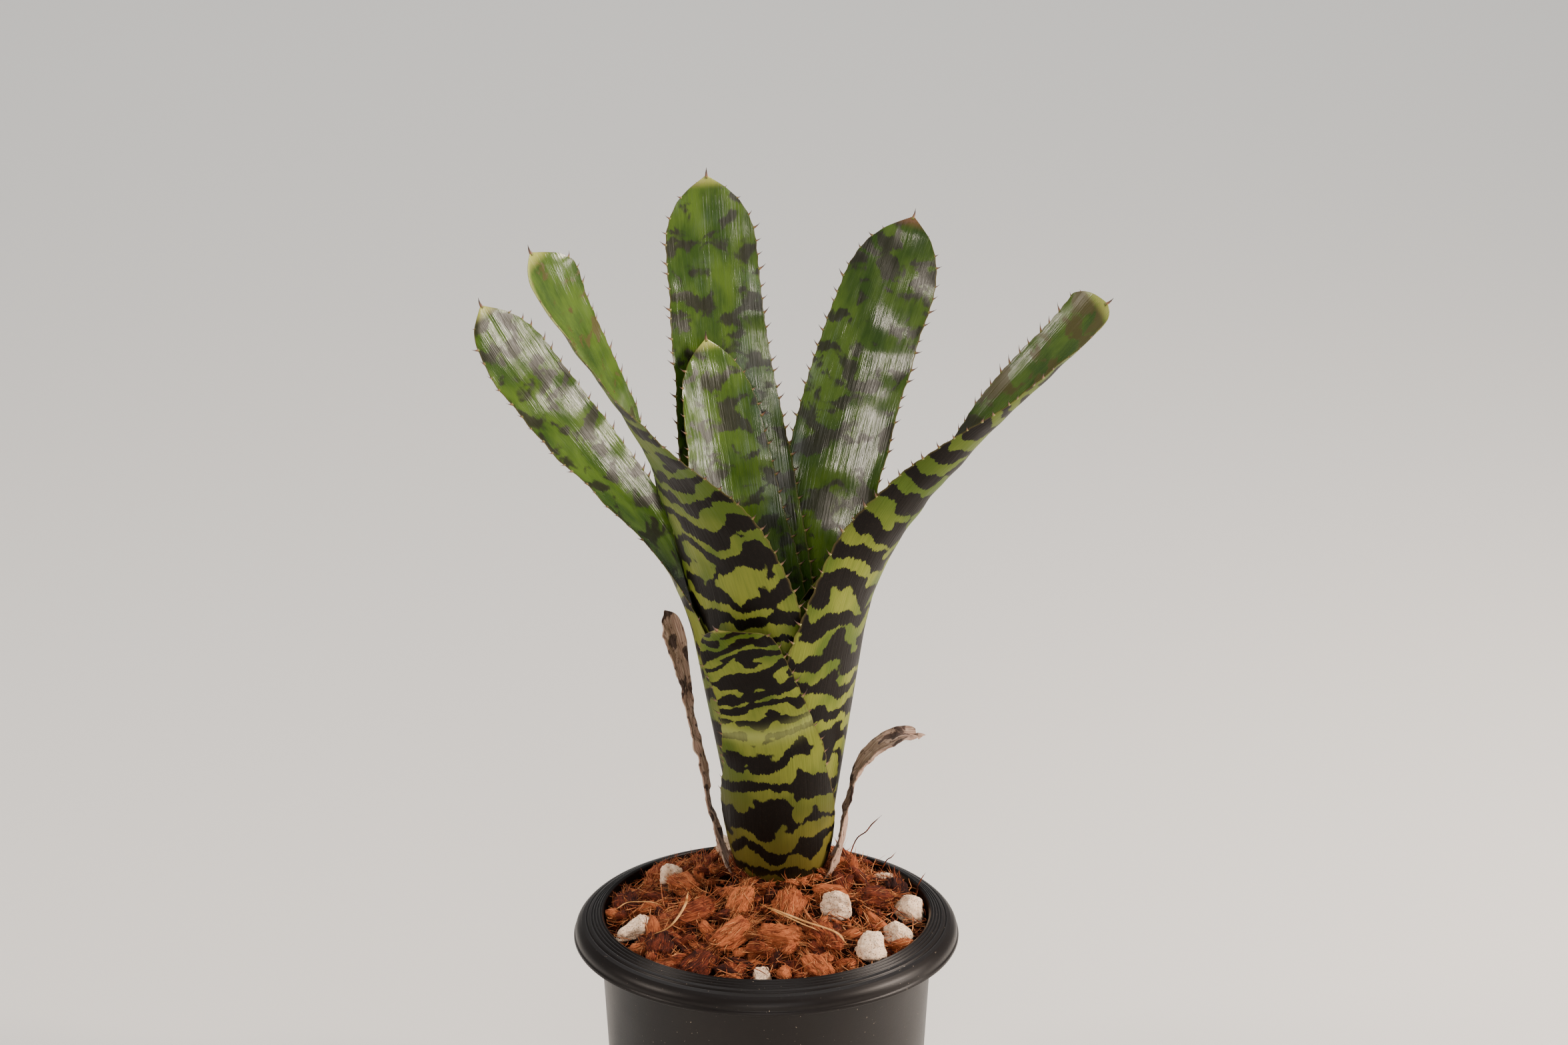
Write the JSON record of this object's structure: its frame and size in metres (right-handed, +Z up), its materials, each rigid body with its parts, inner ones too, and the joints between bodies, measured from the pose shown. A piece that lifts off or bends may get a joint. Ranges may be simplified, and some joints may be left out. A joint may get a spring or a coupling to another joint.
{
  "type": "potted bromeliad",
  "caption": "Tube-shaped bromeliad with banded, spine-edged strap leaves, rooted in husk chips and pumice stones in a round black plastic pot with a wide sloping rim.",
  "frame": {"origin": "centre of the flat pad under the pot, on the ground", "axes": "+Z up along the pot's axis; -Y is the front, +X to the viewer's right"},
  "size_m": [0.1902, 0.1368, 0.3138],
  "materials": {
    "pot_plastic": "satin charcoal-black moulded plastic",
    "husk": "packed fibrous coconut husk, matt orange-brown",
    "stem_tissue": "dull brown woody stock",
    "leaf_blade": "waxy green leaf, outer face banded yellow-green and near-black, inner face glossy and mottled",
    "young_leaf": "waxy green leaf with dark blotches",
    "dry_leaf": "papery tan with dark purple-brown patches",
    "pumice": "rough pitted cream stone",
    "husk_chip": "fibrous orange to red-brown husk, matt"
  },
  "bodies": {
    "root": {"pot": "pot_plastic", "medium_bed": "husk", "stem": "stem_tissue", "leaf_7": "leaf_blade", "leaf_4": "leaf_blade", "leaf_6": "leaf_blade", "leaf_5": "leaf_blade", "leaf_3": "leaf_blade", "leaf_1": "leaf_blade", "leaf_2": "leaf_blade", "young_leaf_1": "young_leaf", "young_leaf_2": "young_leaf", "dry_leaf_left": "dry_leaf", "dry_leaf_right": "dry_leaf", "stone_1": "pumice", "stone_2": "pumice", "stone_3": "pumice", "stone_4": "pumice", "stone_5": "pumice", "stone_6": "pumice", "stone_7": "pumice", "stone_8": "pumice", "stone_9": "pumice", "chip_01": "husk_chip", "chip_02": "husk_chip", "chip_03": "husk_chip", "chip_04": "husk_chip", "chip_05": "husk_chip", "chip_06": "husk_chip", "chip_07": "husk_chip", "chip_08": "husk_chip", "chip_09": "husk_chip", "chip_10": "husk_chip", "chip_11": "husk_chip", "chip_12": "husk_chip", "chip_13": "husk_chip", "chip_14": "husk_chip", "chip_15": "husk_chip", "chip_16": "husk_chip", "chip_17": "husk_chip"}
  },
  "joints": []
}
